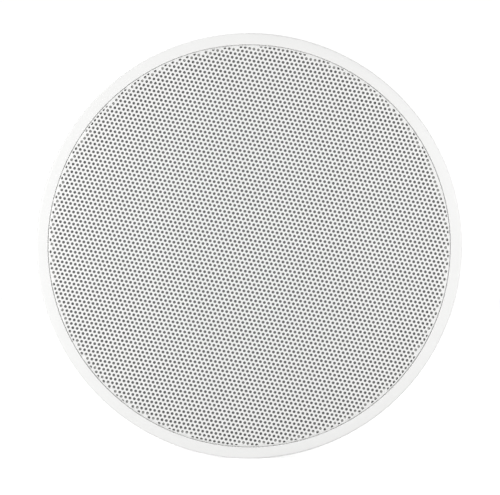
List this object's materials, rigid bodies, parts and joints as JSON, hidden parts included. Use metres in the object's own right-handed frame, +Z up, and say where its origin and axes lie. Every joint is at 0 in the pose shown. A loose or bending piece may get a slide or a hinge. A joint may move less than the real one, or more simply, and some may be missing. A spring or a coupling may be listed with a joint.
{
  "type": "built-in subwoofer",
  "caption": "Round built-in subwoofer: white flanged frame with a flush perforated grille, swing-out panel clamps, magnet motor and spring terminals behind.",
  "frame": {"origin": "on the barrel's axis, in the plane of the flange's rear face, where it meets the panel", "axes": "-Y out of the panel to the listener, +Z up with the terminals at the bottom, +X to the right as seen from the front"},
  "size_m": [0.285, 0.1074, 0.285],
  "materials": {
    "frame_abs": "satin moulded",
    "grille_enamel": "matt powder coat",
    "scrim_cloth": "woven",
    "magnet_nickel": "nickel plated",
    "foam": "closed-cell foam",
    "basket_paint": "satin black",
    "zinc_screw": "zinc plated",
    "felt": "pressed felt",
    "surround_rubber": "smooth rubber",
    "cone_paper": "pressed pulp",
    "former_aluminium": "rolled foil",
    "coil_copper": "enamelled wire",
    "spider_cloth": "resin-stiffened weave",
    "plated_steel": "zinc plated",
    "ferrite": "ground ferrite",
    "hard_paper": "phenolic sheet",
    "tinned_brass": "tinned",
    "tinsel_braid": "braided",
    "sleeve_nylon": "natural nylon",
    "wire_red_pvc": "extruded",
    "wire_black_pvc": "extruded",
    "block_abs": "moulded",
    "button_red_abs": "moulded",
    "button_black_abs": "moulded",
    "spring_steel": "bright",
    "insert_brass": "turned",
    "clamp_nylon": "glass-filled"
  },
  "bodies": {
    "housing": {"mounting_frame": "frame_abs", "grille": "grille_enamel", "scrim": "scrim_cloth", "grille_magnets": "magnet_nickel", "driver_gasket": "foam", "basket": "basket_paint", "driver_screws": "zinc_screw", "trim_ring": "felt", "top_plate": "plated_steel", "magnet_ring": "ferrite", "yoke": "plated_steel", "terminal_strip": "hard_paper", "strip_rivets": "tinned_brass", "terminal_tags": "tinned_brass", "tinsel_leads": "tinsel_braid", "connectors": "sleeve_nylon", "wire_red": "wire_red_pvc", "wire_black": "wire_black_pvc", "terminal_block": "block_abs", "spring_red": "spring_steel", "spring_black": "spring_steel", "terminal_screws": "zinc_screw"},
    "cone_assembly": {"cone": "cone_paper", "dust_cap": "cone_paper", "coil_former": "former_aluminium", "voice_coil": "coil_copper", "surround": "surround_rubber", "spider": "spider_cloth"},
    "button_red": {"button_red": "button_red_abs"},
    "button_black": {"button_black": "button_black_abs"},
    "clamp_screw_1": {"clamp_screw_1": "zinc_screw"},
    "clamp_insert_1": {"clamp_insert_1": "insert_brass"},
    "clamp_dog_1": {"clamp_dog_1": "clamp_nylon"},
    "clamp_screw_2": {"clamp_screw_2": "zinc_screw"},
    "clamp_insert_2": {"clamp_insert_2": "insert_brass"},
    "clamp_dog_2": {"clamp_dog_2": "clamp_nylon"},
    "clamp_screw_3": {"clamp_screw_3": "zinc_screw"},
    "clamp_insert_3": {"clamp_insert_3": "insert_brass"},
    "clamp_dog_3": {"clamp_dog_3": "clamp_nylon"},
    "clamp_screw_4": {"clamp_screw_4": "zinc_screw"},
    "clamp_insert_4": {"clamp_insert_4": "insert_brass"},
    "clamp_dog_4": {"clamp_dog_4": "clamp_nylon"}
  },
  "joints": [
    {"name": "cone_travel", "type": "slide", "parent": "housing", "child": "cone_assembly", "axis": [0, -1, 0], "range_m": [-0.007, 0.007], "stiffness_N_per_m": 2900, "deforming": ["surround", "spider", "tinsel_leads"]},
    {"name": "button_red_press", "type": "slide", "parent": "housing", "child": "button_red", "axis": [0, -1, 0], "range_m": [0, 0.003], "stiffness_N_per_m": 800, "deforming": ["spring_red"]},
    {"name": "button_black_press", "type": "slide", "parent": "housing", "child": "button_black", "axis": [0, -1, 0], "range_m": [0, 0.003], "stiffness_N_per_m": 800, "deforming": ["spring_black"]},
    {"name": "clamp_1_turn", "type": "hinge", "parent": "housing", "child": "clamp_screw_1", "pos_m": [0.08821, 0, 0.07442], "axis": [0, 1, 0], "range_deg": [-1, 5761]},
    {"name": "clamp_1_climb", "type": "slide", "parent": "housing", "child": "clamp_insert_1", "axis": [0, -1, 0], "range_m": [0, 0.036]},
    {"name": "clamp_1_swing", "type": "hinge", "parent": "clamp_insert_1", "child": "clamp_dog_1", "pos_m": [0.08821, 0, 0.07442], "axis": [0, 1, 0], "range_deg": [0, 90]},
    {"name": "clamp_2_turn", "type": "hinge", "parent": "housing", "child": "clamp_screw_2", "pos_m": [-0.07442, 0, 0.08821], "axis": [0, 1, 0], "range_deg": [-1, 5761]},
    {"name": "clamp_2_climb", "type": "slide", "parent": "housing", "child": "clamp_insert_2", "axis": [0, -1, 0], "range_m": [0, 0.036]},
    {"name": "clamp_2_swing", "type": "hinge", "parent": "clamp_insert_2", "child": "clamp_dog_2", "pos_m": [-0.07442, 0, 0.08821], "axis": [0, 1, 0], "range_deg": [0, 90]},
    {"name": "clamp_3_turn", "type": "hinge", "parent": "housing", "child": "clamp_screw_3", "pos_m": [-0.08821, 0, -0.07442], "axis": [0, 1, 0], "range_deg": [-1, 5761]},
    {"name": "clamp_3_climb", "type": "slide", "parent": "housing", "child": "clamp_insert_3", "axis": [0, -1, 0], "range_m": [0, 0.036]},
    {"name": "clamp_3_swing", "type": "hinge", "parent": "clamp_insert_3", "child": "clamp_dog_3", "pos_m": [-0.08821, 0, -0.07442], "axis": [0, 1, 0], "range_deg": [0, 90]},
    {"name": "clamp_4_turn", "type": "hinge", "parent": "housing", "child": "clamp_screw_4", "pos_m": [0.07442, 0, -0.08821], "axis": [0, 1, 0], "range_deg": [-1, 5761]},
    {"name": "clamp_4_climb", "type": "slide", "parent": "housing", "child": "clamp_insert_4", "axis": [0, -1, 0], "range_m": [0, 0.036]},
    {"name": "clamp_4_swing", "type": "hinge", "parent": "clamp_insert_4", "child": "clamp_dog_4", "pos_m": [0.07442, 0, -0.08821], "axis": [0, 1, 0], "range_deg": [0, 90]}
  ],
  "couplings": [
    {"joint": "clamp_1_turn", "follows": "clamp_1_climb", "rad_per_m": 2792.5},
    {"joint": "clamp_2_turn", "follows": "clamp_2_climb", "rad_per_m": 2792.5},
    {"joint": "clamp_3_turn", "follows": "clamp_3_climb", "rad_per_m": 2792.5},
    {"joint": "clamp_4_turn", "follows": "clamp_4_climb", "rad_per_m": 2792.5}
  ]
}
